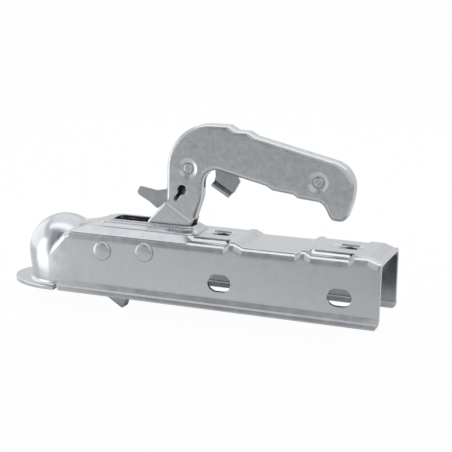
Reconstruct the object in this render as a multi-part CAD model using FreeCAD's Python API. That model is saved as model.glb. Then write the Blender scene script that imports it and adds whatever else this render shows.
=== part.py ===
# Trailer coupling head for a 50 mm tow ball, in zinc-plated pressed steel.
# Millimetres. The origin is the centre of the tow ball when the head is coupled.
# +X runs back along the drawbar, +Z is up, and the head is symmetric about the XZ plane.

import FreeCAD, Part
import math
import os

V = FreeCAD.Vector

# Tow ball and socket
ball_radius = 25.0
ball_clearance = 0.25
sheet = 3.0

# Pressed housing: a channel behind the dome
housing_rear = 259.6
channel_top = 22.1
channel_bend = 6.6
facet_low_x = 1.5
facet_low_z = 7.9
facet_angle = 46.5
brow_x = 27.0
brow_z = 25.2
brow_angle = 23.0
facet_edge_radius = 5.3

# Shoulder and stepped collar round the handle's slot
shoulder_foot_z = 20.6
shoulder_foot_half_width = 26.4
shoulder_front = 11.0
shoulder_rear = 121.0
shoulder_top_z = 25.1
shoulder_top_half_width = 18.7
shoulder_top_front = 27.0
shoulder_top_rear = 117.0
collar_front = 17.0
apron_front = 22.0
apron_rear = 42.0
apron_drop = 2.3
apron_narrowing = 4.0
collar_rear = 116.5
collar_foot_half_width = 18.0
collar_step = 0.7
collar_ledge_z = 27.6
collar_ledge_half_width = 13.8
collar_ledge_front = 32.0
collar_ledge_rear = 114.0
tread_z = 28.8
tread_half_width = 11.2
tread_front = 38.5
tread_rear = 113.0
collar_top_z = 29.7
collar_top_half_width = 10.7
collar_top_front = 40.0
collar_top_rear = 112.2
slot_front = 44.8
slot_rear = 109.7
slot_half_width = 8.6
slot_corner = 3.4

# Crowned ridge from the dome up to the collar
ridge_half_width = 8.5
ridge_round = 4.0
ridge_front_x = 13.0
ridge_front_z = 23.3
ridge_knee_x = 26.1
ridge_knee_z = 26.1

# Raised drawbar pads with lanced sides
front_pad_rise = 3.0
rear_pad_rise = 2.6
pad_foot_half_width = 21.3
pad_head_half_width = 18.2
pad_blend = 4.0
pad_slit_half_width = 19.1
pad_slit = 1.1
pad_slit_hole_radius = 1.5
front_pad_start = 108.0
front_bulge_start = 147.5
front_bulge_end = 151.0
front_pad_end = 157.5
front_slit_start = 117.0
front_slit_end = 144.0
rear_pad_start = 197.0
rear_bulge_start = 201.5
rear_bulge_end = 204.5
rear_slit_start = 209.5
rear_slit_end = 236.0
end_bulge_start = 240.0
end_bulge_end = 250.0
rear_pad_end = 257.0
dish_length = 26.0
dish_width = 14.6
dish_floor_length = 20.0
dish_depth = 1.4
top_hole_radius = 6.25
front_top_hole_x = 131.0
rear_top_hole_x = 229.0

# Slots for the drawbar bolts
bolt_slot_length = 18.0
bolt_slot_width = 13.0
front_bolt_x = 140.8
bolt_spacing = 90.0
bolt_z = -5.7

# Joggled lower flanges and the lip under the dome
flange_start = 8.6
flange_bend_z = -18.5
flange_step = 1.9
flange_step_drop = 1.7
flange_bottom = -26.3
flange_half_width = 31.85
flange_corner = 5.5
flange_front_corner = 3.5
lip_reach = 41.7
neck_lean = 7.8
lip_end = 5.4
lip_top = -22.7
lip_bend = 3.0
lip_inset = 0.05

# Cross rivets through the housing
rivet_radius = 5.0
rivet_head_radius = 7.3
rivet_head_height = 2.2
rivet_fit = 0.05
jaw_pivot_x = 46.4
jaw_pivot_z = 8.7
handle_pivot_x = 81.2
handle_pivot_z = 11.2
sleeve_wall = 2.0
spacer_wall = 1.5
running_fit = 0.06
side_play = 0.2
jaw_sleeve_end = 25.0
jaw_spacer_end = 24.5
handle_sleeve_end = 23.9
handle_spacer_end = 19.0

# Jaw that closes under the ball
jaw_thickness = 7.0
jaw_eye_radius = 12.0
jaw_seat_gap = 0.35
jaw_pad_wall = 6.0
jaw_pad_half_width = 15.0
jaw_pad_high_angle = -6.0
jaw_pad_low_angle = -48.0
jaw_rear_x = 53.5
jaw_tail_z = -43.0
jaw_corner = 2.0

# Pull link between the handle's legs and the jaw
jaw_pin_x = 59.3
jaw_pin_z = -6.6
link_pin_x = 87.7
link_pin_z = -0.1
link_pin_radius = 3.0
link_pin_head_radius = 4.0
link_pin_head = 1.2
link_sheet = 1.5
link_eye_radius = 5.3
link_play = 0.35
link_side_gap = 0.3
ring_width = 1.0
ring_groove = 0.5
jaw_lobe_radius = 6.5
leg_lobe_radius = 6.0

# Handle: two pressed half shells, back to back
handle_half_width = 6.5
handle_sheet = 2.5
handle_edge_radius = 3.6
handle_seam = 0.05
leg_half_width = 8.0
leg_band_run = 2.5
leg_band_x = 92.8
leg_band_z = 45.0
leg_band_angle = -32.3
leg_front_x = 74.2
leg_front_z = 30.7
leg_eye_radius = 12.0
leg_edge_radius = 2.2
dimple_radius = 7.8
dimple_floor_radius = 4.9
dimple_depth = 1.2
front_handle_rivet_x = 106.4
front_handle_rivet_z = 72.7
rear_handle_rivet_x = 206.6
rear_handle_rivet_z = 70.2
handle_rivet_radius = 3.0
handle_rivet_head_radius = 4.2
handle_rivet_head = 0.9
handle_rivet_eye_radius = 2.3
handle_rivet_eye_depth = 0.5
handle_rivet_point_radius = 0.9
keyhole_x = 101.9
keyhole_z = 56.2
keyhole_radius = 3.8
keyway_width = 3.0
keyway_end_x = 96.9
keyway_end_z = 49.0
tube_wall = 1.5
tube_end_gap = 0.05
arch_front = 112.5
arch_rear = 150.0
arch_front_top = 80.0
arch_rear_top = 75.0
arch_foot = 58.0

# Safety catch: one plate with a nose in front and a finger trigger behind
catch_low_y = 0.15
catch_sheet = 2.5
catch_eye_radius = 8.5
trigger_reach = 3.5
trigger_droop = 2.4

# Torsion springs
jaw_spring_wire = 2.0
jaw_spring_pitch = 3.1
jaw_spring_start_y = -9.4
jaw_spring_turns = 3
jaw_spring_hook = 1.5
catch_spring_wire = 0.8
catch_spring_pitch = 1.25
catch_spring_turns = 1
catch_spring_tip_ahead = 17.6
catch_spring_tip_above = 8.3
catch_spring_rest_angle = 25.0
catch_spring_arm = 20.0
full_turn = 360
spring_gap = 0.3
spring_touch = 0.05


def flat_wire(corners, place):
    """Closed wire through (a, b, radius) corners; a radius rounds that corner."""
    points = [V(a, b, 0) for a, b, radius in corners]
    count = len(corners)
    starts = []
    ends = []
    middles = []
    for i, (a, b, radius) in enumerate(corners):
        here = points[i]
        back = (points[i - 1] - here).normalize()
        ahead = (points[(i + 1) % count] - here).normalize()
        half = back.getAngle(ahead) / 2
        reach = radius / math.tan(half) if radius else 0
        inward = (back + ahead)
        if inward.Length > 1e-9:
            inward.normalize()
        centre = here + inward * (radius / math.sin(half) if radius else 0)
        starts.append(here + back * reach)
        ends.append(here + ahead * reach)
        middles.append(centre - inward * radius)
    edges = []
    for i in range(count):
        if corners[i][2]:
            edges.append(Part.Arc(place(starts[i]), place(middles[i]), place(ends[i])).toShape())
        leave = ends[i]
        arrive = starts[(i + 1) % count]
        if leave.distanceToPoint(arrive) > 1e-6:
            edges.append(Part.LineSegment(place(leave), place(arrive)).toShape())
    return Part.Wire(edges)


def side_plate(corners, low_y, high_y):
    """Plate with an outline in the XZ plane, from low_y to high_y."""
    wire = flat_wire(corners, lambda p: V(p.x, low_y, p.y))
    return Part.Face(wire).extrude(V(0, high_y - low_y, 0))


def long_bar(corners, front, rear):
    """Bar with a section in the YZ plane, from front to rear along X."""
    wire = flat_wire(corners, lambda p: V(front, p.x, p.y))
    return Part.Face(wire).extrude(V(rear - front, 0, 0))


def cross_cylinder(x, z, radius, low_y, high_y):
    """Cylinder along Y."""
    return Part.makeCylinder(radius, high_y - low_y, V(x, low_y, z), V(0, 1, 0))


def cross_tube(x, z, inner, outer, low_y, high_y):
    """Tube along Y."""
    return cross_cylinder(x, z, outer, low_y, high_y).cut(cross_cylinder(x, z, inner, low_y - 1, high_y + 1))


def mirrored(shape):
    """The same form on the other side of the XZ plane."""
    return shape.mirror(V(0, 0, 0), V(0, 1, 0))


def rounded_rectangle(front, rear, half_width, corner, z):
    """Wire of a rectangle with round corners, level at z."""
    corners = [(front, -half_width, corner), (rear, -half_width, corner),
               (rear, half_width, corner), (front, half_width, corner)]
    return flat_wire(corners, lambda p: V(p.x, p.y, z))


def frustum(low, high):
    """Solid between two level rounded rectangles, each (front, rear, half width, corner, z)."""
    return Part.makeLoft([rounded_rectangle(*low), rounded_rectangle(*high)], True, True)


socket_radius = ball_radius + ball_clearance
dome_radius = socket_radius + sheet
channel_half_width = dome_radius


def channel_bar(inset, rise, front, rear, bottom):
    """Solid of the channel's outer form, or of its inside where inset is the sheet."""
    width = channel_half_width - inset
    top = channel_top + rise - inset
    bend = channel_bend - inset
    section = [(-width, bottom, 0), (-width, top, bend), (width, top, bend), (width, bottom, 0)]
    return long_bar(section, front, rear)


def pad_section(inset, x, rise, wide):
    """Wire across the channel at x, its top raised between the slits or over the whole width."""
    width = channel_half_width - inset
    low = channel_top - inset
    shift = inset * math.tan(math.radians(22.5))
    foot = pad_foot_half_width - shift
    head = pad_head_half_width - shift
    edge = low + rise if wide else low
    corners = [(-width, 0, 0), (-width, edge, channel_bend - inset), (-foot, edge, 0),
               (-head, low + rise, 0), (head, low + rise, 0), (foot, edge, 0),
               (width, edge, channel_bend - inset), (width, 0, 0)]
    return flat_wire(corners, lambda p: V(x, p.x, p.y))


def front_pad(inset):
    """Pad behind the collar: narrow between its slits, then a bulge right across."""
    rise = front_pad_rise
    stations = [(front_pad_start, rise, False), (front_bulge_start - pad_blend, rise, False),
                (front_bulge_start, rise, True), (front_bulge_end, rise, True), (front_pad_end, 0, True)]
    return Part.makeLoft([pad_section(inset, *station) for station in stations], True, True)


def rear_pad(inset):
    """Pad at the rear end: a bulge, the narrow part between its slits, and a longer bulge."""
    rise = rear_pad_rise
    stations = [(rear_pad_start, 0, True), (rear_bulge_start, rise, True), (rear_bulge_end, rise, True),
                (rear_bulge_end + pad_blend, rise, False), (end_bulge_start - pad_blend, rise, False),
                (end_bulge_start, rise, True), (end_bulge_end, rise, True), (rear_pad_end, 0, True)]
    return Part.makeLoft([pad_section(inset, *station) for station in stations], True, True)


def oblong(x, length, width, z):
    """Level wire with straight sides and round ends."""
    return rounded_rectangle(x - length / 2, x + length / 2, width / 2, width / 2 - 0.001, z)


def top_dish(x, rise, inset):
    """Tool for the oblong dish round a top hole, or for its underside where inset is the sheet."""
    high = channel_top + rise - inset
    grow = inset * 0.8
    tool = Part.makeLoft([oblong(x, dish_floor_length + grow, dish_width - 2.0 + grow, high - dish_depth),
                          oblong(x, dish_length + grow, dish_width + grow, high)], True, True)
    if inset:
        return tool
    above = Part.Face(oblong(x, dish_length, dish_width, high)).extrude(V(0, 0, 5))
    return tool.fuse(above)


def ridge(inset):
    """Crowned ridge on the centre line, from the dome up to the collar's top."""
    width = ridge_half_width - inset
    outline = [(ridge_front_x + inset, 5, 0), (collar_top_front + 3, 5, 0),
               (collar_top_front + 3, collar_top_z - inset, 0), (ridge_knee_x, ridge_knee_z - inset, 0),
               (ridge_front_x + inset, ridge_front_z - inset, 0)]
    body = side_plate(outline, -width, width)
    high = [e for e in body.Edges if e.BoundBox.ZMin > 15 and e.BoundBox.YLength < 1e-6
            and e.BoundBox.XLength > 5]
    return body.makeFillet(ridge_round if inset == 0 else 1.5, high)


def collar():
    """Stepped collar: a riser and a slope, a second riser with a narrow tread, and the slot's rim."""
    step_z = shoulder_top_z + collar_step
    foot = (collar_front, collar_rear, collar_foot_half_width, 9.0)
    ledge = (collar_ledge_front, collar_ledge_rear, collar_ledge_half_width, 7.5)
    inner_ledge = (collar_ledge_front + 2, collar_ledge_rear - 0.4, collar_ledge_half_width - 0.4, 7.2)
    tread = (tread_front, tread_rear, tread_half_width, 6.5)
    rim = (collar_top_front, collar_top_rear, collar_top_half_width, 6.0)
    tiers = [frustum(foot + (shoulder_top_z - 2,), foot + (step_z,)),
             frustum(foot + (step_z,), ledge + (collar_ledge_z,)),
             frustum(inner_ledge + (collar_ledge_z - 1,), inner_ledge + (collar_ledge_z + collar_step,)),
             frustum(inner_ledge + (collar_ledge_z + collar_step,), tread + (tread_z,)),
             frustum(tread + (tread_z - 0.5,), rim + (collar_top_z,))]
    straight = Part.makeBox(200, 100, 40, V(apron_rear, -50, 0))
    high = [tiers[2], tiers[3], tiers[4]]
    low = [tier.common(straight) for tier in tiers[:2]]
    sections = []
    for x, drop, narrow in ((apron_rear, 0, 0), (apron_front, apron_drop, apron_narrowing)):
        foot_y = collar_foot_half_width - narrow
        ledge_y = collar_ledge_half_width - narrow
        corners = [(-foot_y, 20, 0), (-foot_y, step_z - drop, 0), (-ledge_y, collar_ledge_z - drop, 0),
                   (ledge_y, collar_ledge_z - drop, 0), (foot_y, step_z - drop, 0), (foot_y, 20, 0)]
        sections.append(flat_wire(corners, lambda p: V(x, p.x, p.y)))
    apron = Part.makeLoft(sections, True, True)
    return low + [apron] + high


def facet_bar(inset, x, z, angle):
    """Long bar under a plane that falls to the dome, with its two upper edges rounded."""
    slope = math.radians(angle)
    along = V(math.cos(slope), 0, math.sin(slope))
    up = V(-math.sin(slope), 0, math.cos(slope))
    start = V(x, 0, z) - up * inset - along * 200
    width = channel_half_width - inset
    corners = [(-width, -300, 0), (-width, 0, facet_edge_radius - inset),
               (width, 0, facet_edge_radius - inset), (width, -300, 0)]
    wire = flat_wire(corners, lambda p: start + V(0, p.x, 0) + up * p.y)
    return Part.Face(wire).extrude(along * 700)


def leaning_cylinder(radius, bottom):
    """Cylinder from the ball's centre down to a level, leaning back under the front of the ball."""
    lean = math.radians(neck_lean)
    body = Part.makeCylinder(radius, 60, V(0, 0, 0), V(math.sin(lean), 0, -math.cos(lean)))
    return body.cut(Part.makeBox(200, 200, 60, V(-100, -100, bottom - 60)))


def cup(inset):
    """Dome and its foot, which draws in a little under the front of the ball."""
    radius = dome_radius - inset
    bottom = lip_top if inset == 0 else flange_bottom - 5
    front = leaning_cylinder(radius, bottom).common(Part.makeBox(60, 100, 60, V(-60, -50, -60)))
    rear = Part.makeCylinder(radius, -bottom, V(0, 0, bottom), V(0, 0, 1), 180)
    low = math.degrees(math.asin(lip_top / radius))
    dome = Part.makeSphere(radius, V(0, 0, 0), V(0, 0, 1), low, 90, full_turn)
    return [dome, front, rear.rotated(V(0, 0, 0), V(0, 0, 1), -90)]


def skin(inset):
    """The housing's closed outer form, or its inside where inset is the sheet."""
    bottom = flange_bend_z - 1 if inset == 0 else flange_bottom - 5
    body = channel_bar(inset, 0, 0, housing_rear + inset, bottom)
    roof = [frustum((shoulder_front + inset, shoulder_rear - inset, shoulder_foot_half_width - inset, 9.0,
                     shoulder_foot_z - inset),
                    (shoulder_top_front + inset, shoulder_top_rear - inset,
                     shoulder_top_half_width - inset * 0.6, 9.0, shoulder_top_z - inset))]
    if inset == 0:
        roof = roof + collar()
    else:
        roof.append(frustum((collar_front + 2 * inset, collar_rear - inset,
                             collar_foot_half_width - inset * 0.6, 7.0, shoulder_top_z - inset),
                            (collar_top_front + inset * 0.5, collar_top_rear - inset * 0.5,
                             collar_top_half_width - inset * 0.4, 5.0, collar_top_z - inset)))
    body = body.fuse(roof)
    body = body.common(facet_bar(inset, facet_low_x, facet_low_z, facet_angle))
    body = body.common(facet_bar(inset, brow_x, brow_z, brow_angle))
    body = body.fuse([front_pad(inset), rear_pad(inset), ridge(inset)])
    for piece in cup(inset):
        body = body.fuse(piece)
    for x, rise in ((front_top_hole_x, front_pad_rise), (rear_top_hole_x, rear_pad_rise)):
        body = body.cut(top_dish(x, rise, inset))
    return body.removeSplitter()


def flange():
    """Joggled strip along the foot of the near wall."""
    outer = channel_half_width
    inner = channel_half_width - sheet
    step = outer + flange_step
    step_z = flange_bend_z - flange_step_drop
    section = [(-outer, flange_bend_z + 4, 0), (-outer, flange_bend_z, 3.2), (-step, step_z, 1.0),
               (-flange_half_width, flange_bottom + 1.1, 0.8),
               (-flange_half_width + 2.9, flange_bottom, 0.8),
               (-step + 2.9, step_z - 1.3, 2.0), (-inner, flange_bend_z - 1.4, 1.2),
               (-inner, flange_bend_z + 4, 0)]
    strip = long_bar(section, flange_start, housing_rear)
    corner = Part.makeBox(flange_corner, 40, flange_corner,
                          V(housing_rear - flange_corner, -60, flange_bottom))
    round_end = cross_cylinder(housing_rear - flange_corner, flange_bottom + flange_corner, flange_corner,
                               -61, -19)
    strip = strip.cut(corner.cut(round_end))
    corner = Part.makeBox(flange_front_corner, 40, flange_front_corner, V(flange_start, -60, flange_bottom))
    round_end = cross_cylinder(flange_start + flange_front_corner, flange_bottom + flange_front_corner,
                               flange_front_corner, -61, -19)
    return strip.cut(corner.cut(round_end))


def lip():
    """Flat rounded lip round the foot of the dome, with its bend."""
    ellipse = Part.Ellipse(V(0, 0, lip_top - sheet), lip_reach, flange_half_width)
    plate = Part.Face(Part.Wire(ellipse.toShape())).extrude(V(0, 0, sheet))
    above = Part.makeBox(200, 200, 60, V(-100, -100, lip_top + lip_bend + 1))
    stem = leaning_cylinder(dome_radius - lip_inset, lip_top).cut(above)
    joined = plate.fuse(stem)
    root = [e for e in joined.Edges
            if abs(e.BoundBox.ZMin - lip_top) < 1e-3 and abs(e.BoundBox.ZMax - lip_top) < 1e-3
            and e.BoundBox.XMin > 1 - dome_radius]
    joined = joined.makeFillet(lip_bend, root)
    for piece in cup(sheet)[1:]:
        joined = joined.cut(piece)
    return joined.cut(Part.makeBox(60, 100, 60, V(lip_end, -50, -50)))


def housing():
    """One pressed sheet: dome, channel, collar, pads, flanges and lip."""
    shell = skin(0).cut(skin(sheet))
    near = flange()
    shell = shell.fuse([near, mirrored(near), lip()])
    slot = frustum((slot_front, slot_rear, slot_half_width, slot_corner, 15),
                   (slot_front, slot_rear, slot_half_width, slot_corner, 40))
    cuts = [slot]
    for start, end in ((front_slit_start, front_slit_end), (rear_slit_start, rear_slit_end)):
        for y in (-pad_slit_half_width, pad_slit_half_width - pad_slit):
            cuts.append(Part.makeBox(end - start, pad_slit, 20, V(start, y, 12)))
            cuts.append(Part.makeCylinder(pad_slit_hole_radius, 20, V(end, y + pad_slit / 2, 12)))
    for x in (front_top_hole_x, rear_top_hole_x):
        cuts.append(Part.makeCylinder(top_hole_radius, 20, V(x, 0, 12)))
    half = (bolt_slot_length - bolt_slot_width) / 2
    for x in (front_bolt_x, front_bolt_x + bolt_spacing):
        r = bolt_slot_width / 2
        corners = [(x - half - r, bolt_z - r, r - 0.001), (x + half + r, bolt_z - r, r - 0.001),
                   (x + half + r, bolt_z + r, r - 0.001), (x - half - r, bolt_z + r, r - 0.001)]
        cuts.append(side_plate(corners, -40, 40))
    hole = rivet_radius + rivet_fit
    cuts.append(cross_cylinder(jaw_pivot_x, jaw_pivot_z, hole, -40, 40))
    cuts.append(cross_cylinder(handle_pivot_x, handle_pivot_z, hole, -40, 40))
    return shell.cut(cuts).removeSplitter()


def cross_rivet(x, z):
    """Rivet right across the housing, with a low domed head on each side."""
    wall = channel_half_width
    shank = cross_cylinder(x, z, rivet_radius, -wall - 0.5, wall + 0.5)
    curve = (rivet_head_radius ** 2 + rivet_head_height ** 2) / (2 * rivet_head_height)
    ball = Part.makeSphere(curve, V(x, -wall - rivet_head_height + curve, z))
    head = ball.common(cross_cylinder(x, z, rivet_head_radius, -wall - 10, -wall))
    return shank.fuse([head, mirrored(head)])


def sleeve(x, z, end):
    """Bearing tube on a cross rivet, up to the bend of the housing's wall on each side."""
    return cross_tube(x, z, rivet_radius + rivet_fit, rivet_radius + sleeve_wall, -end, end)


def spacers(x, z, inner_end, end):
    """Pair of tubes on a sleeve that keep a moving piece in the middle."""
    inner = rivet_radius + sleeve_wall + rivet_fit
    near = cross_tube(x, z, inner, inner + spacer_wall, -end, -inner_end)
    return Part.makeCompound([near, mirrored(near)])


def jaw():
    """Forged lever: an eye on the front rivet, a seat under the ball, a link lobe and a tail."""
    half = jaw_thickness / 2
    seat = ball_radius + jaw_seat_gap
    low = math.radians(jaw_pad_low_angle)
    toe_x = seat * math.cos(low)
    toe_z = seat * math.sin(low)
    corners = [(toe_x - 1.5, toe_z + 1.5, 0), (toe_x + 0.6, toe_z - 2.4, 1.0), (38.8, -35.0, 0),
               (51.6, jaw_tail_z, jaw_corner), (jaw_rear_x, -37.5, jaw_corner), (jaw_rear_x, -16.0, 5.0),
               (jaw_pin_x + 2, jaw_pin_z - 6, 2.0), (jaw_pin_x + 2, jaw_pin_z + 6, 2.0),
               (jaw_pivot_x + 8, jaw_pivot_z + 2, 3.0), (jaw_pivot_x - 9, jaw_pivot_z + 2, 3.0),
               (30.5, -4.0, 3.0), (22.0, -6.0, 0)]
    plate = side_plate(corners, -half, half)
    plate = plate.fuse([cross_cylinder(jaw_pivot_x, jaw_pivot_z, jaw_eye_radius, -half, half),
                        cross_cylinder(jaw_pin_x, jaw_pin_z, jaw_lobe_radius, -half, half)])
    high = math.radians(jaw_pad_high_angle)
    far = 80.0
    wedge = [(0, 0, 0), (far * math.cos(low), far * math.sin(low), 0), (far, far * math.sin(high), 0)]
    block = Part.makeSphere(seat + jaw_pad_wall).common(
        side_plate(wedge, -jaw_pad_half_width, jaw_pad_half_width))
    body = plate.fuse(block).cut(Part.makeSphere(seat))
    bore = rivet_radius + sleeve_wall + running_fit
    holes = [cross_cylinder(jaw_pivot_x, jaw_pivot_z, bore, -40, 40),
             cross_cylinder(jaw_pin_x, jaw_pin_z, link_pin_radius + rivet_fit, -40, 40)]
    return body.cut(holes).removeSplitter()


def handle_corners():
    """Outline of a handle shell, with two finger notches below and two steps above."""
    return [(88.4, 40.0, 0), (89.4, 106.6, 35.0), (137.6, 106.4, 4.0), (143.4, 103.0, 4.0),
            (153.0, 102.8, 4.0), (158.2, 99.7, 4.0), (233.6, 82.4, 19.0), (232.2, 60.0, 30.0),
            (227.0, 42.6, 6.5), (216.4, 43.2, 5.5), (209.6, 55.4, 8.0), (191.2, 57.0, 2.0),
            (187.6, 59.4, 3.0), (171.6, 61.2, 2.5), (167.2, 64.0, 4.0), (117.6, 75.2, 11.0),
            (116.8, 51.0, 25.0), (110.0, 31.0, 0)]


def dish(x, z, front_y, front_radius, floor_y, floor_radius):
    """Cone along Y for a dimple, from its rim at front_y to its floor at floor_y."""
    depth = floor_y - front_y
    return Part.makeCone(front_radius, floor_radius, depth, V(x, front_y, z), V(0, 1, 0))


def leg():
    """Flat near leg in the housing's slot, set out from the shell's face by a joggle."""
    eye = leg_eye_radius
    dx = leg_front_x - handle_pivot_x
    dz = leg_front_z - handle_pivot_z
    lean = math.atan2(dz, dx) + math.acos(eye / math.hypot(dx, dz))
    corners = [(96.0, 54.2, 0), (leg_front_x, leg_front_z, 9.0),
               (handle_pivot_x + eye * math.cos(lean), handle_pivot_z + eye * math.sin(lean), 0),
               (handle_pivot_x - 6, handle_pivot_z - 8, 0), (handle_pivot_x + 6, handle_pivot_z - 8, 0),
               (link_pin_x + leg_lobe_radius - 0.3, link_pin_z + 0.5, 0), (97.0, 12.0, 12.0),
               (110.0, 31.0, 4.0), (111.2, 34.5, 0), (106.5, 42.0, 0)]
    out = -leg_half_width
    outline = side_plate(corners, out, 0)
    outline = outline.fuse([cross_cylinder(handle_pivot_x, handle_pivot_z, eye, out, 0),
                            cross_cylinder(link_pin_x, link_pin_z, leg_lobe_radius, out, 0)])
    outline = outline.removeSplitter()
    rim = [e for e in outline.Edges if abs(e.BoundBox.YMax - out) < 1e-4]
    outline = outline.makeFillet(leg_edge_radius, rim)
    angle = math.radians(leg_band_angle)
    along = V(math.cos(angle), 0, math.sin(angle))
    down = V(math.sin(angle), 0, -math.cos(angle))
    base = V(leg_band_x, 0, leg_band_z) - along * 60
    face = -handle_half_width
    section = [(-20, face, 0), (0, face, 1.5), (leg_band_run, out, 1.5), (80, out, 0),
               (80, out + handle_sheet, 0), (leg_band_run + 1, out + handle_sheet, 2.0),
               (1, face + handle_sheet, 2.0), (-20, face + handle_sheet, 0)]
    wire = flat_wire(section, lambda p: base + down * p.x + V(0, p.y, 0))
    sheet_bar = Part.Face(wire).extrude(along * 140)
    return sheet_bar.common(outline)


def handle_shell():
    """Near half of the handle: a tray with rolled edges above, and a leg in the housing's slot."""
    wire = flat_wire(handle_corners(), lambda p: V(p.x, -handle_half_width, p.y))
    block = Part.Face(wire).extrude(V(0, handle_half_width - handle_seam, 0))
    rim = [e for e in block.Edges if abs(e.BoundBox.YMax + handle_half_width) < 1e-4
           and not (e.BoundBox.ZMax < 42 and e.BoundBox.ZMin < 32 and e.BoundBox.XMin < 89)]
    block = block.makeFillet(handle_edge_radius, rim)
    inside = wire.makeOffset2D(-handle_sheet)
    inside.translate(V(0, handle_sheet, 0))
    block = block.cut(Part.Face(inside).extrude(V(0, handle_half_width + 5, 0)))
    angle = math.radians(leg_band_angle)
    along = V(math.cos(angle), 0, math.sin(angle))
    down = V(math.sin(angle), 0, -math.cos(angle))
    base = V(leg_band_x, -20, leg_band_z)
    below = [base - along * 40, base + along * 60,
             base + along * 60 + down * 60, base - along * 40 + down * 60]
    block = block.cut(Part.Face(Part.makePolygon(below + below[:1])).extrude(V(0, 40, 0)))
    shell = block.fuse(leg())
    face = -handle_half_width
    for x, z in ((front_handle_rivet_x, front_handle_rivet_z), (rear_handle_rivet_x, rear_handle_rivet_z)):
        bump = dish(x, z, face + 1, dimple_radius, face + handle_sheet + dimple_depth,
                    dimple_floor_radius + 0.6)
        shell = shell.fuse(bump)
        shell = shell.cut(dish(x, z, face - 0.01, dimple_radius, face + dimple_depth, dimple_floor_radius))
        shell = shell.cut(cross_cylinder(x, z, handle_rivet_radius + rivet_fit, -20, 0))
    bore = rivet_radius + sleeve_wall + running_fit
    shell = shell.cut(cross_cylinder(handle_pivot_x, handle_pivot_z, bore, -20, 0))
    return shell.cut(cross_cylinder(link_pin_x, link_pin_z, link_pin_radius + rivet_fit, -20, 0))


def near_shell():
    """Near half with the keyhole for a padlock pin."""
    shell = handle_shell()
    start = V(keyhole_x, -20, keyhole_z)
    end = V(keyway_end_x, -20, keyway_end_z)
    along = (end - start).normalize()
    side = V(-along.z, 0, along.x) * (keyway_width / 2)
    corners = [start - side, end - side, end + side, start + side]
    key = Part.Face(Part.makePolygon(corners + corners[:1])).extrude(V(0, 18, 0))
    hole = cross_cylinder(keyhole_x, keyhole_z, keyhole_radius, -20, -2)
    tip = cross_cylinder(keyway_end_x, keyway_end_z, keyway_width / 2, -20, -2)
    return shell.cut([key, hole, tip]).removeSplitter()


def far_shell():
    """Far half with gaps in its rim for the safety catch."""
    shell = mirrored(handle_shell())
    room = catch_low_y + catch_sheet + 0.35
    gap = Part.makeBox(12, room + 1, 26, V(82, -1, 36))
    arch = side_plate([(arch_front, arch_foot, 0), (arch_rear, arch_foot, 0), (arch_rear, arch_rear_top, 0),
                       (arch_front, arch_front_top, 0)], -1, room)
    return shell.cut([gap, arch]).removeSplitter()


def handle_rivet_across(x, z):
    """Handle rivet with a low head in the dimple of each shell."""
    seat = handle_half_width - dimple_depth
    shank = cross_cylinder(x, z, handle_rivet_radius, -seat - 0.3, seat + 0.3)
    curve = (handle_rivet_head_radius ** 2 + handle_rivet_head ** 2) / (2 * handle_rivet_head)
    ball = Part.makeSphere(curve, V(x, -seat - handle_rivet_head + curve, z))
    head = ball.common(cross_cylinder(x, z, handle_rivet_head_radius, -seat - 5, -seat))
    top = -seat - handle_rivet_head
    head = head.cut(cross_tube(x, z, handle_rivet_point_radius, handle_rivet_eye_radius, top - 1,
                               top + handle_rivet_eye_depth))
    return shank.fuse([head, mirrored(head)])


def handle_tube(x, z):
    """Tube on a handle rivet, between the dimples of the two shells."""
    end = handle_half_width - handle_sheet - dimple_depth - tube_end_gap
    inner = handle_rivet_radius + rivet_fit
    return cross_tube(x, z, inner, handle_rivet_radius + tube_wall, -end, end)


def catch():
    """Safety catch: a bell crank with the nose ahead, the pivot eye, and the trigger with its flange."""
    high_y = catch_low_y + catch_sheet
    x = front_handle_rivet_x
    z = front_handle_rivet_z
    nose = [(64.3, 54.8, 0.6), (72.0, 53.8, 0), (77.8, 52.7, 0), (84.5, 54.0, 3.0), (92.3, 57.0, 3.0),
            (93.6, 67.0, 4.0), (x - 5, z + 5, 0), (x + 3, z - 3, 0), (99.6, 64.6, 3.0), (95.6, 59.0, 4.0),
            (92.6, 50.0, 4.0), (84.6, 44.2, 3.0), (79.1, 38.9, 1.5), (72.0, 44.1, 0), (63.6, 48.4, 1.0),
            (62.2, 50.4, 0.8)]
    arm = [(x - 2, z + 7, 0), (128.0, 79.0, 5.0), (141.0, 72.0, 5.0), (145.2, 64.6, 2.0),
           (139.9, 55.2, 1.5), (125.1, 63.8, 1.0), (126.2, 67.6, 0), (125.7, 73.4, 1.5),
           (118.5, 75.6, 3.0), (x + 3, z - 5, 0)]
    plate = side_plate(nose, catch_low_y, high_y).fuse([side_plate(arm, catch_low_y, high_y),
                                                       cross_cylinder(x, z, catch_eye_radius, catch_low_y,
                                                                      high_y)])
    start = V(125.1, 0, 63.8)
    along = (V(139.9, 0, 55.2) - start).normalize()
    down = V(along.z, 0, -along.x)
    section = [(-4.0, high_y, 0), (0.9, high_y, 1.6), (trigger_droop + 1.2, -trigger_reach + 0.4, 0.6),
               (trigger_droop - 0.9, -trigger_reach - 0.3, 0.6), (-1.2, catch_low_y, 0.5),
               (-4.0, catch_low_y, 0)]
    wire = flat_wire(section, lambda p: start + along * 0.4 + down * p.x + V(0, p.y, 0))
    flange_bar = Part.Face(wire).extrude(along * 16.0)
    hole = cross_cylinder(x, z, handle_rivet_radius + tube_wall + running_fit, -10, 10)
    return plate.fuse(flange_bar).cut(hole).removeSplitter()


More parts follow.
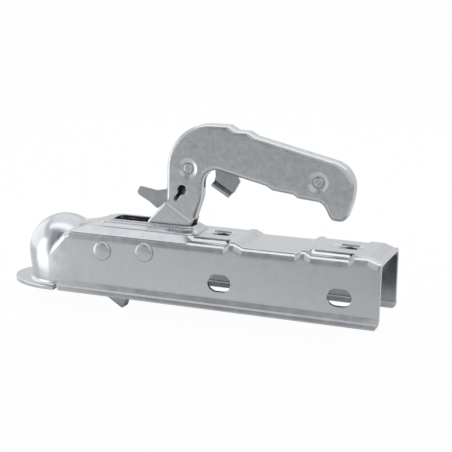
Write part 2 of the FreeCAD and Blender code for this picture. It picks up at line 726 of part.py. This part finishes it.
def link_plates():
    """Two bowed link plates, one each side of the jaw."""
    low_y = jaw_thickness / 2 + link_side_gap
    high_y = low_y + link_sheet
    corners = [(jaw_pin_x, jaw_pin_z + link_eye_radius, 0), (68.0, -1.6, 4.0), (72.0, -3.4, 4.0),
               (77.0, -3.6, 5.0), (84.0, 1.0, 0), (link_pin_x, link_pin_z - link_eye_radius, 0),
               (78.0, -10.2, 6.0), (jaw_pin_x, jaw_pin_z - link_eye_radius, 0)]
    plate = side_plate(corners, low_y, high_y)
    plate = plate.fuse([cross_cylinder(jaw_pin_x, jaw_pin_z, link_eye_radius, low_y, high_y),
                        cross_cylinder(link_pin_x, link_pin_z, link_eye_radius, low_y, high_y)])
    plate = plate.cut([cross_cylinder(jaw_pin_x, jaw_pin_z, link_pin_radius + link_play, 0, 20),
                       cross_cylinder(link_pin_x, link_pin_z, link_pin_radius + running_fit, 0, 20)])
    return Part.makeCompound([mirrored(plate), plate])


def headed_pin(x, z, seat):
    """Pin along Y with a head on the near side and a ring groove on the far side."""
    end = seat + ring_width + 1.0
    shank = cross_cylinder(x, z, link_pin_radius, -seat - 0.3, end)
    head = cross_cylinder(x, z, link_pin_head_radius, -seat - link_pin_head, -seat)
    edge = [e for e in head.Edges if abs(e.BoundBox.YMin + seat + link_pin_head) < 1e-4
            and e.BoundBox.YLength < 1e-4]
    head = head.makeFillet(0.4, edge)
    groove = cross_tube(x, z, link_pin_radius - ring_groove, link_pin_radius + 1, seat, seat + ring_width)
    return shank.fuse(head).cut(groove)


def open_ring(x, z, seat):
    """Retaining ring in the pin's groove, open on one side."""
    ring = cross_tube(x, z, link_pin_radius - ring_groove, link_pin_head_radius, seat, seat + ring_width)
    opening = Part.makeBox(2.0, 20, 8, V(x - 1.0, 0, z - 8))
    return ring.cut(opening)


def wire_bend(centre, start, heading, wire, degrees):
    """Round wire bent about a centre, from a start point and its heading there."""
    disc = Part.Face(Part.Wire(Part.makeCircle(wire / 2, start, heading)))
    axis = (start - centre).cross(heading)
    return disc.revolve(centre, axis, degrees)


def wire_run(start, end, wire):
    """Straight length of round wire."""
    return Part.makeCylinder(wire / 2, (end - start).Length, start, end - start)


def coil(x, z, radius, wire, pitch, start_y, start_angle, end_angle, start_tip, end_tip, hook_end_y):
    """Torsion spring round Y: a hook along Y, an arm, the coil and an arm, as one bent wire."""
    half_turns = int((end_angle - start_angle) // 180)
    angle = math.radians(start_angle)
    place = V(x + radius * math.cos(angle), start_y, z + radius * math.sin(angle))
    corner = V(start_tip[0], start_y, start_tip[1])
    along = (place - corner).normalize()
    bend = wire * 1.2
    bend_start = corner + V(0, bend, 0)
    pieces = [wire_run(V(corner.x, hook_end_y, corner.z), bend_start, wire)]
    pieces.append(wire_bend(bend_start + along * bend, bend_start, V(0, -1, 0), wire, 90))
    pieces.append(wire_run(corner + along * bend, place, wire))
    level = end_angle - start_angle - 180 * half_turns
    heading = V(-math.sin(angle), 0, math.cos(angle))
    pieces.append(wire_bend(V(x, start_y, z), place, heading, wire, level))
    y = start_y
    for i in range(half_turns):
        angle = math.radians(start_angle + level + 180 * i)
        place = V(x + radius * math.cos(angle), y, z + radius * math.sin(angle))
        heading = V(-math.sin(angle), 0, math.cos(angle))
        pieces.append(wire_bend(V(x, y - pitch / 4, z), place, heading, wire, 180))
        y = y - pitch / 2
    angle = math.radians(end_angle)
    place = V(x + radius * math.cos(angle), y, z + radius * math.sin(angle))
    pieces.append(wire_run(place, V(end_tip[0], y, end_tip[1]), wire))
    return pieces[0].fuse(pieces[1:])


def tangent_angle(x, z, radius, tip):
    """Angle on a circle where a line from the tip joins it in the counter-clockwise sense."""
    dx = tip[0] - x
    dz = tip[1] - z
    reach = math.hypot(dx, dz)
    return math.degrees(math.atan2(dz, dx) + math.acos(radius / reach))


def jaw_spring():
    """Torsion spring on the jaw's near spacer; one arm behind the jaw, one under the rear spacer."""
    wire = jaw_spring_wire
    radius = rivet_radius + sleeve_wall + rivet_fit + spacer_wall + spring_gap + wire / 2
    tip = (jaw_rear_x + spring_touch + wire / 2, -22.0)
    start = tangent_angle(jaw_pivot_x, jaw_pivot_z, radius, tip)
    rear = rivet_radius + sleeve_wall + rivet_fit + spacer_wall + spring_touch + wire / 2
    dx = handle_pivot_x - jaw_pivot_x
    dz = handle_pivot_z - jaw_pivot_z
    slope = math.atan2(dz, dx) + math.asin((radius - rear) / math.hypot(dx, dz))
    end = math.degrees(slope) - 90
    far = (handle_pivot_x + rear * math.sin(slope) + 3 * math.cos(slope),
           handle_pivot_z - rear * math.cos(slope) + 3 * math.sin(slope))
    hook_end = jaw_thickness / 2 + jaw_spring_hook
    return coil(jaw_pivot_x, jaw_pivot_z, radius, wire, jaw_spring_pitch, jaw_spring_start_y - wire / 2,
                start, end + full_turn * jaw_spring_turns, tip, far, hook_end)


def catch_spring():
    """Torsion spring on the catch's tube; one arm over the catch, one against the handle's front."""
    wire = catch_spring_wire
    radius = handle_rivet_radius + tube_wall + spring_gap + wire / 2
    tip = (front_handle_rivet_x + catch_spring_tip_ahead, front_handle_rivet_z + catch_spring_tip_above)
    start = tangent_angle(front_handle_rivet_x, front_handle_rivet_z, radius, tip)
    end = catch_spring_rest_angle
    hook_y = catch_low_y - 0.25 - wire / 2
    lean = math.radians(end)
    arm = catch_spring_arm
    far = (front_handle_rivet_x + radius * math.cos(lean) - arm * math.sin(lean),
           front_handle_rivet_z + radius * math.sin(lean) + arm * math.cos(lean))
    return coil(front_handle_rivet_x, front_handle_rivet_z, radius, wire, catch_spring_pitch, hook_y, start,
                end + full_turn * (catch_spring_turns + 1), tip, far, catch_low_y + catch_sheet)


def build():
    """All the nodes by name."""
    jaw_seat = jaw_thickness / 2 + link_side_gap + link_sheet + 0.2
    nodes = {"housing": housing()}
    nodes["jaw_rivet"] = cross_rivet(jaw_pivot_x, jaw_pivot_z)
    nodes["handle_rivet"] = cross_rivet(handle_pivot_x, handle_pivot_z)
    nodes["jaw_sleeve"] = sleeve(jaw_pivot_x, jaw_pivot_z, jaw_sleeve_end)
    nodes["handle_sleeve"] = sleeve(handle_pivot_x, handle_pivot_z, handle_sleeve_end)
    nodes["jaw_spacers"] = spacers(jaw_pivot_x, jaw_pivot_z, jaw_thickness / 2 + side_play,
                                    jaw_spacer_end)
    nodes["handle_spacers"] = spacers(handle_pivot_x, handle_pivot_z, leg_half_width + side_play,
                                       handle_spacer_end)
    nodes["jaw"] = jaw()
    nodes["jaw_pin"] = headed_pin(jaw_pin_x, jaw_pin_z, jaw_seat)
    nodes["jaw_pin_ring"] = open_ring(jaw_pin_x, jaw_pin_z, jaw_seat)
    nodes["jaw_spring"] = jaw_spring()
    nodes["link_plates"] = link_plates()
    nodes["link_pin"] = headed_pin(link_pin_x, link_pin_z, leg_half_width)
    nodes["link_pin_ring"] = open_ring(link_pin_x, link_pin_z, leg_half_width)
    nodes["handle_near_shell"] = near_shell()
    nodes["handle_far_shell"] = far_shell()
    nodes["handle_front_rivet"] = handle_rivet_across(front_handle_rivet_x, front_handle_rivet_z)
    nodes["handle_rear_rivet"] = handle_rivet_across(rear_handle_rivet_x, rear_handle_rivet_z)
    nodes["catch_tube"] = handle_tube(front_handle_rivet_x, front_handle_rivet_z)
    nodes["handle_tube"] = handle_tube(rear_handle_rivet_x, rear_handle_rivet_z)
    nodes["catch"] = catch()
    nodes["catch_spring"] = catch_spring()
    return nodes


os.makedirs("parts", exist_ok=True)
for name, shape in build().items():
    shape.exportStep("parts/" + name + ".step")
    print(name, shape.isValid(), len(shape.Solids), round(shape.Volume, 1))
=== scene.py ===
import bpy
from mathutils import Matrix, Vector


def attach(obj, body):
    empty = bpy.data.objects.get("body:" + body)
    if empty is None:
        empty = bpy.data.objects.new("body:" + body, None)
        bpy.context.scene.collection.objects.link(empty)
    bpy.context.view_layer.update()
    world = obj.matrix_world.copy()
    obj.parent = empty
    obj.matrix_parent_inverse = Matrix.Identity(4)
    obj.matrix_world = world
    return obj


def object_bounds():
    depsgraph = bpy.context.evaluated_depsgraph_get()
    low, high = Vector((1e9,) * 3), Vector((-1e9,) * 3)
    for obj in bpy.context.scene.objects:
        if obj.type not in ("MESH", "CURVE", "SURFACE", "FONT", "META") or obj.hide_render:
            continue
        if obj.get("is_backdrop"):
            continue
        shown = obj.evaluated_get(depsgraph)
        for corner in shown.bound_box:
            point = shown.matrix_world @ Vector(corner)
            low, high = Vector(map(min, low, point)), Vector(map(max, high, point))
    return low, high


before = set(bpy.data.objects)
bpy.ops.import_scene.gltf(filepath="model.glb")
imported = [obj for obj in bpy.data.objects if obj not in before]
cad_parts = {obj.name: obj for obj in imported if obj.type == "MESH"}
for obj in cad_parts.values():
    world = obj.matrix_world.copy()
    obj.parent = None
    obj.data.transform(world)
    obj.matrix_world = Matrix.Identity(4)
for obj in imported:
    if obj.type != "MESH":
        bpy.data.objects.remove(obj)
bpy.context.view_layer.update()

import math

import bpy
from mathutils import Matrix, Vector


# Camera. The photograph looks at the head's near side from a little above and
# from behind its middle, with a long lens, so the channel tapers only slightly.
def look_from(place, aim, roll_degrees, lens):
    data = bpy.data.cameras.new("photo_camera")
    data.lens = lens
    data.sensor_width = 36.0
    data.clip_start = 0.01
    data.clip_end = 20.0
    camera = bpy.data.objects.new("photo_camera", data)
    bpy.context.scene.collection.objects.link(camera)
    turn = (Vector(aim) - Vector(place)).to_track_quat("-Z", "Y").to_matrix().to_4x4()
    roll = Matrix.Rotation(math.radians(roll_degrees), 4, "Z")
    camera.matrix_world = Matrix.Translation(place) @ turn @ roll
    bpy.context.scene.camera = camera


look_from((0.4212, -0.7513, 0.2141), (0.1350, 0.0, 0.0307), 0.94, 88.44)


# Housing. One shell pressed from 3 mm mild steel sheet and zinc plated after
# forming. The plating is a cool pale grey, satin, with faint rolling marks that
# run up the walls and a slight mottle where the zinc has bloomed.
def linear(colour):
    parts = [int(colour[i:i + 2], 16) / 255 for i in (1, 3, 5)]
    return tuple(c / 12.92 if c <= 0.04045 else ((c + 0.055) / 1.055) ** 2.4 for c in parts) + (1.0,)


def add(tree, kind, settings=None, links=None):
    node = tree.nodes.new(kind)
    for name, value in (settings or {}).items():
        if isinstance(name, str) and hasattr(node, name):
            setattr(node, name, value)
        else:
            node.inputs[name].default_value = value
    for name, source in (links or {}).items():
        tree.links.new(source, node.inputs[name])
    return node


def maths(tree, operation, *terms):
    numbers = {i: term for i, term in enumerate(terms) if isinstance(term, (int, float))}
    sockets = {i: term for i, term in enumerate(terms) if i not in numbers}
    return add(tree, "ShaderNodeMath", {"operation": operation, **numbers}, sockets).outputs["Value"]


def noise(tree, size_mm, detail, roughness, place):
    settings = {"Scale": 1000 / size_mm, "Detail": detail, "Roughness": roughness}
    return add(tree, "ShaderNodeTexNoise", settings, {"Vector": place}).outputs["Fac"]


# the mask for the painted shade inside the channel: the share of a point's surface that lies deep in the
# channel, between its walls, below a height and behind a start, all in mm
def painted_shade_mask(tree, place, half_width_mm, height_mm, start_mm):
    parts = add(tree, "ShaderNodeSeparateXYZ", {}, {"Vector": place})
    across = maths(tree, "ABSOLUTE", parts.outputs["Y"])
    between = maths(tree, "LESS_THAN", across, half_width_mm / 1000)
    low = maths(tree, "LESS_THAN", parts.outputs["Z"], height_mm / 1000)
    behind = maths(tree, "GREATER_THAN", parts.outputs["X"], start_mm / 1000)
    return maths(tree, "MULTIPLY", maths(tree, "MULTIPLY", between, low), behind)


def zinc_plated(name, dark, light, rough, grain_mm, streak_mm, streak_depth, grain_depth,
                mottle_mm=9.0, edge_mm=0.8, painted_shade_box_mm=None, painted_shade_colour=None):
    material = bpy.data.materials.new(name)
    material.use_nodes = True
    tree = material.node_tree
    tree.nodes.clear()
    place = add(tree, "ShaderNodeTexCoord").outputs["Object"]
    # the zinc's bloom: patches about a centimetre across, a little lighter and duller
    bloom = noise(tree, mottle_mm, 4.0, 0.6, place)
    # the plating's own grain, drawn about three times as coarse as real so that it shows
    grain = noise(tree, grain_mm, 3.0, 0.7, place)
    # rolling marks: fine lines that run up the wall
    long_way = add(tree, "ShaderNodeMapping", {"Scale": (1.0, 1.0, 0.06)}, {"Vector": place})
    streak = noise(tree, streak_mm, 2.0, 0.6, long_way.outputs["Vector"])
    mixed = maths(tree, "MULTIPLY_ADD", grain, 0.45, bloom)
    mixed = maths(tree, "MULTIPLY_ADD", streak, 0.30, mixed)
    shade = add(tree, "ShaderNodeMapRange", {"From Min": 0.55, "From Max": 1.2}, {"Value": mixed})
    colour = add(tree, "ShaderNodeMix", {"data_type": "RGBA", 6: linear(dark), 7: linear(light)},
                 {0: shade.outputs["Result"]})
    shown = colour.outputs[2]
    if painted_shade_box_mm:
        # painted shade: the deep channel's inside is given a darker colour, standing in for the shade that
        # falls there
        painted_shade_mix = add(tree, "ShaderNodeMix", {"data_type": "RGBA", 7: linear(painted_shade_colour)},
                    {0: painted_shade_mask(tree, place, *painted_shade_box_mm), 6: shown})
        shown = painted_shade_mix.outputs[2]
    dull = add(tree, "ShaderNodeMapRange", {"From Min": 0.3, "From Max": 0.7, "To Min": rough - 0.06,
                                            "To Max": rough + 0.07}, {"Value": bloom})
    relief = maths(tree, "MULTIPLY_ADD", streak, streak_depth / max(grain_depth, 1e-6), grain)
    bump = add(tree, "ShaderNodeBump", {"Strength": 1.0, "Distance": grain_depth / 1000}, {"Height": relief})
    if edge_mm:
        # the plating rounds every edge and bend by a little, so that each one catches the light
        soft_edge = add(tree, "ShaderNodeBevel", {"samples": 8, "Radius": edge_mm / 1000})
        tree.links.new(soft_edge.outputs["Normal"], bump.inputs["Normal"])
    surface = add(tree, "ShaderNodeBsdfPrincipled", {"Metallic": 1.0},
                  {"Base Color": shown, "Roughness": dull.outputs["Result"],
                   "Normal": bump.outputs["Normal"]})
    add(tree, "ShaderNodeOutputMaterial", {}, {"Surface": surface.outputs["BSDF"]})
    return material


def finish_with(material, *nodes):
    for node in nodes:
        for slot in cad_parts[node].material_slots:
            slot.material = material


# the box inside the channel, in mm, where the housing's colour is darkened as painted shade
channel_painted_shade_box_mm = (25.4, 18.0, 6.0)
pressed_zinc = zinc_plated("zinc_plated_pressed_steel", "#ACAFB3", "#B9BCBF", 0.23, 0.9, 1.1, 0.006, 0.003,
                           edge_mm=1.1, painted_shade_box_mm=channel_painted_shade_box_mm, painted_shade_colour="#898F93")
finish_with(pressed_zinc, "housing")


# Cross rivets, sleeves and spacer tubes. Steel rivets with low domed heads,
# zinc plated, on drawn tubes that carry the jaw and the handle.
rivet_zinc = zinc_plated("zinc_plated_rivet_steel", "#A9ACAF", "#B6B9BC", 0.26, 0.7, 0.9, 0.004, 0.006,
                         edge_mm=0.7)
finish_with(rivet_zinc, "jaw_rivet", "handle_rivet", "jaw_pin", "link_pin")


# a surface through rings of points in mm, one ring after another
def sheet_of(name, rings, material, closed):
    count = len(rings[0])
    mesh = bpy.data.meshes.new(name)
    sides = [(k, (k + 1) % count) for k in range(count if closed else count - 1)]
    faces = [(i * count + a, i * count + b, (i + 1) * count + b, (i + 1) * count + a)
             for i in range(len(rings) - 1) for a, b in sides]
    mesh.from_pydata([tuple(v / 1000 for v in point) for ring in rings for point in ring], [], faces)
    mesh.shade_smooth()
    mesh.materials.append(material)
    thing = bpy.data.objects.new(name, mesh)
    bpy.context.scene.collection.objects.link(thing)
    return thing


# the upset heads: hardly domed, with a rolled rim, 14.6 mm across and 2.2 mm high
head_profile = [(7.3, 0.0), (7.2, 0.6), (6.8, 1.2), (6.2, 1.55), (5.2, 1.76), (4.0, 1.96), (2.5, 2.13),
                (0.05, 2.24)]
wall_face_y = 28.25
head_sides = 48
for name, x, z in (("jaw_rivet_head", 46.4, 8.7), ("handle_rivet_head", 81.2, 11.2)):
    for side, sign in (("near", -1), ("far", 1)):
        turns = [math.tau * k / head_sides for k in range(head_sides)]
        rings = [[(x + radius * math.cos(turn), sign * (wall_face_y + out),
                   z - sign * radius * math.sin(turn)) for turn in turns]
                 for radius, out in head_profile]
        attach(sheet_of(side + "_" + name, rings, rivet_zinc, True), "housing")
tube_zinc = zinc_plated("zinc_plated_drawn_tube", "#8E9295", "#A6A9AC", 0.42, 0.8, 1.0, 0.006, 0.006)
finish_with(tube_zinc, "jaw_sleeve", "handle_sleeve", "jaw_spacers", "handle_spacers", "catch_tube",
            "handle_tube")


# Joggle of the lower flanges. Along each wall's foot the sheet steps out by 2 mm
# over a sharp edge, which is the long bright line above the flange. The strip is the same zinc as the
# housing in a lighter colour, a painted highlight on top of the edge's own reflection.
joggle = [(28.28, -16.4), (28.38, -17.2), (28.56, -17.9), (28.85, -18.45), (30.5, -19.95),
          (30.74, -20.4), (30.80, -21.0), (30.83, -21.6), (30.84, -22.1)]
joggle_ends = (9.0, 259.4)
# a lighter copy of the housing's zinc: painted highlight on the joggle
joggle_highlight_zinc = zinc_plated("zinc_plated_joggle_painted_highlight", "#B6B9BC", "#C3C6C8", 0.20, 0.9, 1.1, 0.002, 0.001,
                        edge_mm=0)
for side, sign in (("near", -1), ("far", 1)):
    rings = [[(x, sign * y, z) for x in joggle_ends[::-sign]] for y, z in joggle]
    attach(sheet_of(side + "_flange_joggle", rings, joggle_highlight_zinc, False), "housing")


# Jaw and its link. The jaw is a drop forging with a scale-roughened skin under
# the zinc; the link plates are punched from 1.5 mm strip.
forged_zinc = zinc_plated("zinc_plated_forged_steel", "#D0D2D4", "#E2E3E4", 0.36, 1.4, 1.6, 0.01, 0.02,
                          mottle_mm=6.0)
finish_with(forged_zinc, "jaw")
strip_zinc = zinc_plated("zinc_plated_punched_strip", "#94989B", "#ADB0B3", 0.40, 0.8, 1.0, 0.008, 0.006)
finish_with(strip_zinc, "link_plates")


# Springs and retaining rings. Oil-tempered wire and blued spring strip, dark
# and slightly glossy, with no plating.
tempered = zinc_plated("oil_tempered_spring_steel", "#3A3C3E", "#54575A", 0.34, 0.5, 0.8, 0.002, 0.002)
finish_with(tempered, "jaw_spring", "catch_spring", "jaw_pin_ring", "link_pin_ring")


# Handle. Two half shells pressed from 2.5 mm sheet and riveted back to back.
# The zinc is duller and more mottled on the faces than on the rolled edges.
handle_zinc = zinc_plated("zinc_plated_handle_pressing", "#A9ADB0", "#BFC2C4", 0.25, 1.0, 1.2, 0.003, 0.006,
                          mottle_mm=4.0, edge_mm=1.2)
finish_with(handle_zinc, "handle_near_shell", "handle_far_shell")
finish_with(rivet_zinc, "handle_front_rivet", "handle_rear_rivet")


# Safety catch. Punched and folded from 2.5 mm sheet, zinc plated; its nose and
# finger trigger stand out of the handle.
catch_zinc = zinc_plated("zinc_plated_catch_plate", "#8C9093", "#A4A7A9", 0.28, 0.8, 1.0, 0.008, 0.006,
                         edge_mm=0.7)
finish_with(catch_zinc, "catch")


# Studio. A white table and a white surround, with four soft lamps: one overhead,
# a long one behind, a small one low by the dome and one to the left. A grey card
# in front is mirrored by all the surfaces that tilt up toward the camera.
def panel(name, centre, aim, width, height, level):
    data = bpy.data.lights.new(name, "AREA")
    data.shape = "RECTANGLE"
    data.size = width
    data.size_y = height
    data.energy = level * width * height * math.pi
    lamp = bpy.data.objects.new(name, data)
    lamp.visible_camera = False
    bpy.context.scene.collection.objects.link(lamp)
    turn = (Vector(aim) - Vector(centre)).to_track_quat("-Z", "Y").to_matrix().to_4x4()
    lamp.matrix_world = Matrix.Translation(centre) @ turn


# the Light Path node and the share of glossy and transmission rays, up to a ceiling
def background_share(tree, ceiling):
    seen = add(tree, "ShaderNodeLightPath")
    share = maths(tree, "ADD", seen.outputs["Is Glossy Ray"], seen.outputs["Is Transmission Ray"])
    return seen, maths(tree, "MULTIPLY", share, ceiling)


def stage_sheet(name, corners, material):
    sheet = bpy.data.meshes.new(name)
    sheet.from_pydata(corners, [], [(i, i + 1, i + 3, i + 2) for i in range(0, len(corners) - 2, 2)])
    sheet.materials.append(material)
    thing = bpy.data.objects.new(name, sheet)
    bpy.context.scene.collection.objects.link(thing)
    thing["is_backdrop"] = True
    return thing


panel("overhead_soft_light", (0.10, -0.08, 1.20), (0.10, 0.0, 0.0), 2.2, 0.46, 1.2)
panel("rear_soft_light", (0.10, 0.69, 0.98), (0.10, 0.0, 0.0), 2.2, 1.10, 0.42)
panel("dome_soft_light", (-0.109, -0.105, 0.043), (0.521, 0.370, 0.658), 0.075, 0.195, 1.5)
panel("left_soft_light", (-0.30, 0.03, 0.10), (0.0, 0.0, 0.05), 0.35, 0.25, 0.75)

# the card is a curved strip round the part, from 4 to 70 degrees above its level
card_grey = bpy.data.materials.new("matt_grey_card")
card_grey.use_nodes = True
tree = card_grey.node_tree
tree.nodes.clear()
glow = add(tree, "ShaderNodeEmission", {"Color": linear("#B2B4B6"), "Strength": 1.0})
add(tree, "ShaderNodeOutputMaterial", {}, {"Surface": glow.outputs["Emission"]})
card_reach = 1.5
card_ends = (-0.74, 0.0)
card_rises = [math.radians(4 + step * 6) for step in range(12)]
card_corners = [(x, -card_reach * math.cos(rise), card_reach * math.sin(rise))
                for rise in card_rises for x in card_ends]
card = stage_sheet("front_grey_card", card_corners, card_grey)
card.visible_camera = False

table_gap = 0.0002
table_reach = 15
floor_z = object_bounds()[0][2] - table_gap
table_white = bpy.data.materials.new("matt_white_table_paint")
table_white.use_nodes = True
tree = table_white.node_tree
tree.nodes.clear()
paint = add(tree, "ShaderNodeBsdfDiffuse", {"Color": linear("#F4F4F4"), "Roughness": 1.0})
glow = add(tree, "ShaderNodeEmission", {"Color": (1.0, 1.0, 1.0, 1.0), "Strength": 1.0})
# mirrored in the metal, the table is white all round and keeps the dark under the part
part_middle_x = 0.11
place = add(tree, "ShaderNodeTexCoord").outputs["Object"]
parts = add(tree, "ShaderNodeSeparateXYZ", {}, {"Vector": place})
ahead = maths(tree, "ABSOLUTE", maths(tree, "SUBTRACT", parts.outputs["X"], part_middle_x))
aside = maths(tree, "ABSOLUTE", parts.outputs["Y"])
clear_x = add(tree, "ShaderNodeMapRange", {"From Min": 0.13, "From Max": 0.17}, {"Value": ahead})
clear_y = add(tree, "ShaderNodeMapRange", {"From Min": 0.026, "From Max": 0.045}, {"Value": aside})
clear = maths(tree, "MAXIMUM", clear_x.outputs["Result"], clear_y.outputs["Result"])
# and, as mirrored, its glow is painted brightest beside the part and fainter to the right
# and toward the camera: painted falloff standing in for the lamps not reaching there
outward = add(tree, "ShaderNodeVectorMath", {"operation": "DOT_PRODUCT", 1: (0.6, -0.8, 0.0)}, {0: place})
painted_glow_falloff = add(tree, "ShaderNodeMapRange", {"From Min": 0.13, "From Max": 0.43, "To Min": 1.0, "To Max": 0.62},
          {"Value": outward.outputs["Value"]})
camera_share = 0.97
seen, share = background_share(tree, camera_share)
strength = maths(tree, "MULTIPLY_ADD", maths(tree, "SUBTRACT", painted_glow_falloff.outputs["Result"], 1.0),
                 seen.outputs["Is Glossy Ray"], 1.0)
tree.links.new(strength, glow.inputs["Strength"])
share = maths(tree, "MULTIPLY", share, clear)
share = maths(tree, "MULTIPLY_ADD", seen.outputs["Is Camera Ray"], camera_share, share)
both = add(tree, "ShaderNodeMixShader", {},
           {0: share, 1: paint.outputs["BSDF"], 2: glow.outputs["Emission"]})
add(tree, "ShaderNodeOutputMaterial", {}, {"Surface": both.outputs["Shader"]})
table_corners = [(x, y, floor_z) for y in (-table_reach, table_reach) for x in (-table_reach, table_reach)]
stage_sheet("table_top", table_corners, table_white)

world = bpy.data.worlds.new("studio_surround")
bpy.context.scene.world = world
world.use_nodes = True
tree = world.node_tree
tree.nodes.clear()
seen, share = background_share(tree, 1.0)
share = add(tree, "ShaderNodeMath", {"operation": "ADD", "use_clamp": True},
            {0: seen.outputs["Is Camera Ray"], 1: share})
room = add(tree, "ShaderNodeMix", {"data_type": "FLOAT", 2: 0.8, 3: 1.0}, {0: share.outputs["Value"]})
sky = add(tree, "ShaderNodeBackground", {"Color": (1.0, 1.0, 1.0, 1.0)}, {"Strength": room.outputs[0]})
add(tree, "ShaderNodeOutputWorld", {}, {"Surface": sky.outputs["Background"]})
bpy.context.scene.view_settings.view_transform = "Standard"
